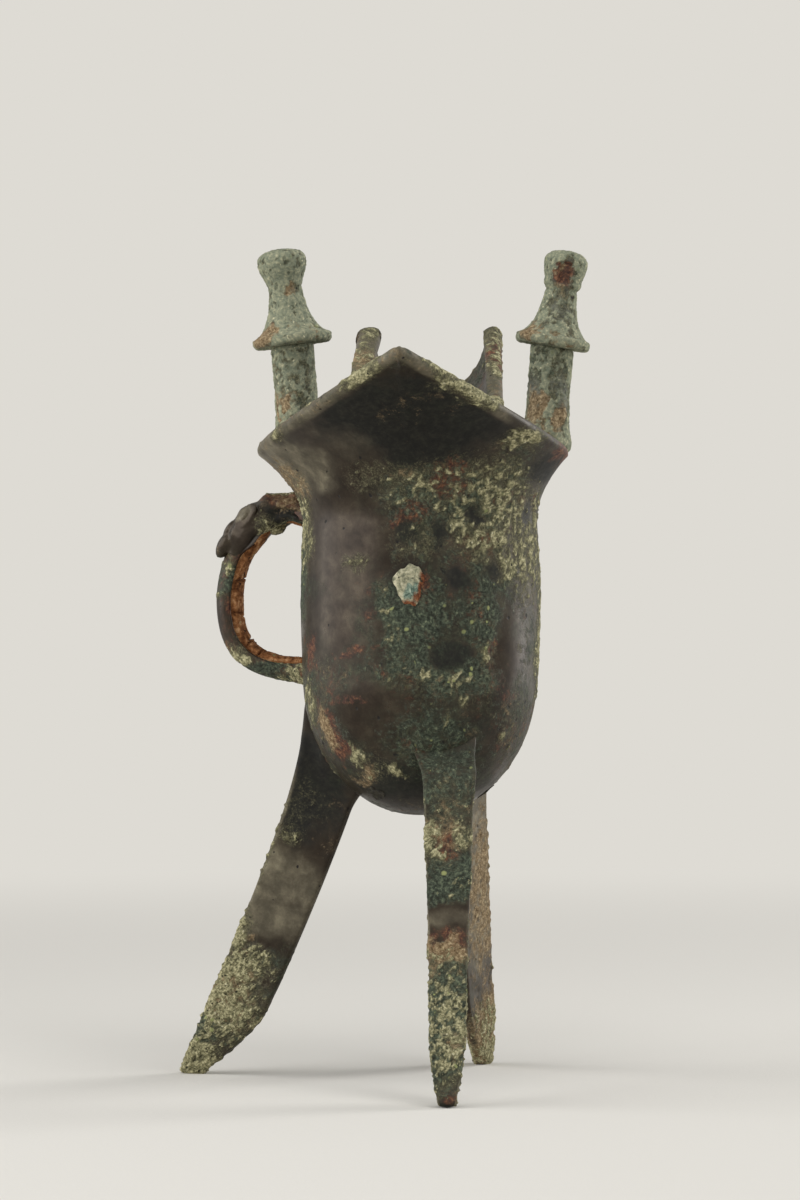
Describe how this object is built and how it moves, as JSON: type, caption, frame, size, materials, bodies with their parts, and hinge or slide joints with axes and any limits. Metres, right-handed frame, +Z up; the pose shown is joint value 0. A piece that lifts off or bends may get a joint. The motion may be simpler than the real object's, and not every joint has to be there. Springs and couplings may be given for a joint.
{
  "type": "bronze jue wine vessel",
  "caption": "Ritual bronze wine vessel: egg-bottomed cup on blade legs, with a long spout, a pointed tail, capped posts on the rim and a strap handle with an ox head",
  "frame": {"origin": "middle of the bounding box, on the surface that the feet stand on", "axes": "+Z up, +Y towards the spout's lip, -Y towards the tail, -X towards the handle"},
  "size_m": [0.1034, 0.1612, 0.2065],
  "materials": {
    "patinated_bronze": "satin brown-black patina with green and tan corrosion",
    "crusted_bronze": "matt pale green-grey corrosion crust",
    "fired_clay": "matt fired clay",
    "spacer_bronze": "matt mint corrosion"
  },
  "bodies": {
    "root": {"vessel_body": "patinated_bronze", "leg_under_handle": "patinated_bronze", "leg_tail_side": "patinated_bronze", "leg_spout_side": "patinated_bronze", "handle_strap": "patinated_bronze", "handle_clay_core": "fired_clay", "handle_ox_head": "patinated_bronze", "post_handle_side": "crusted_bronze", "post_far_side": "crusted_bronze", "post_cap_handle_side": "crusted_bronze", "post_cap_far_side": "crusted_bronze", "cap_core_handle_side": "fired_clay", "cap_core_far_side": "fired_clay", "chaplet_tail_wall": "spacer_bronze", "chaplet_base_1": "spacer_bronze", "chaplet_base_2": "spacer_bronze", "chaplet_base_3": "spacer_bronze"}
  },
  "joints": []
}
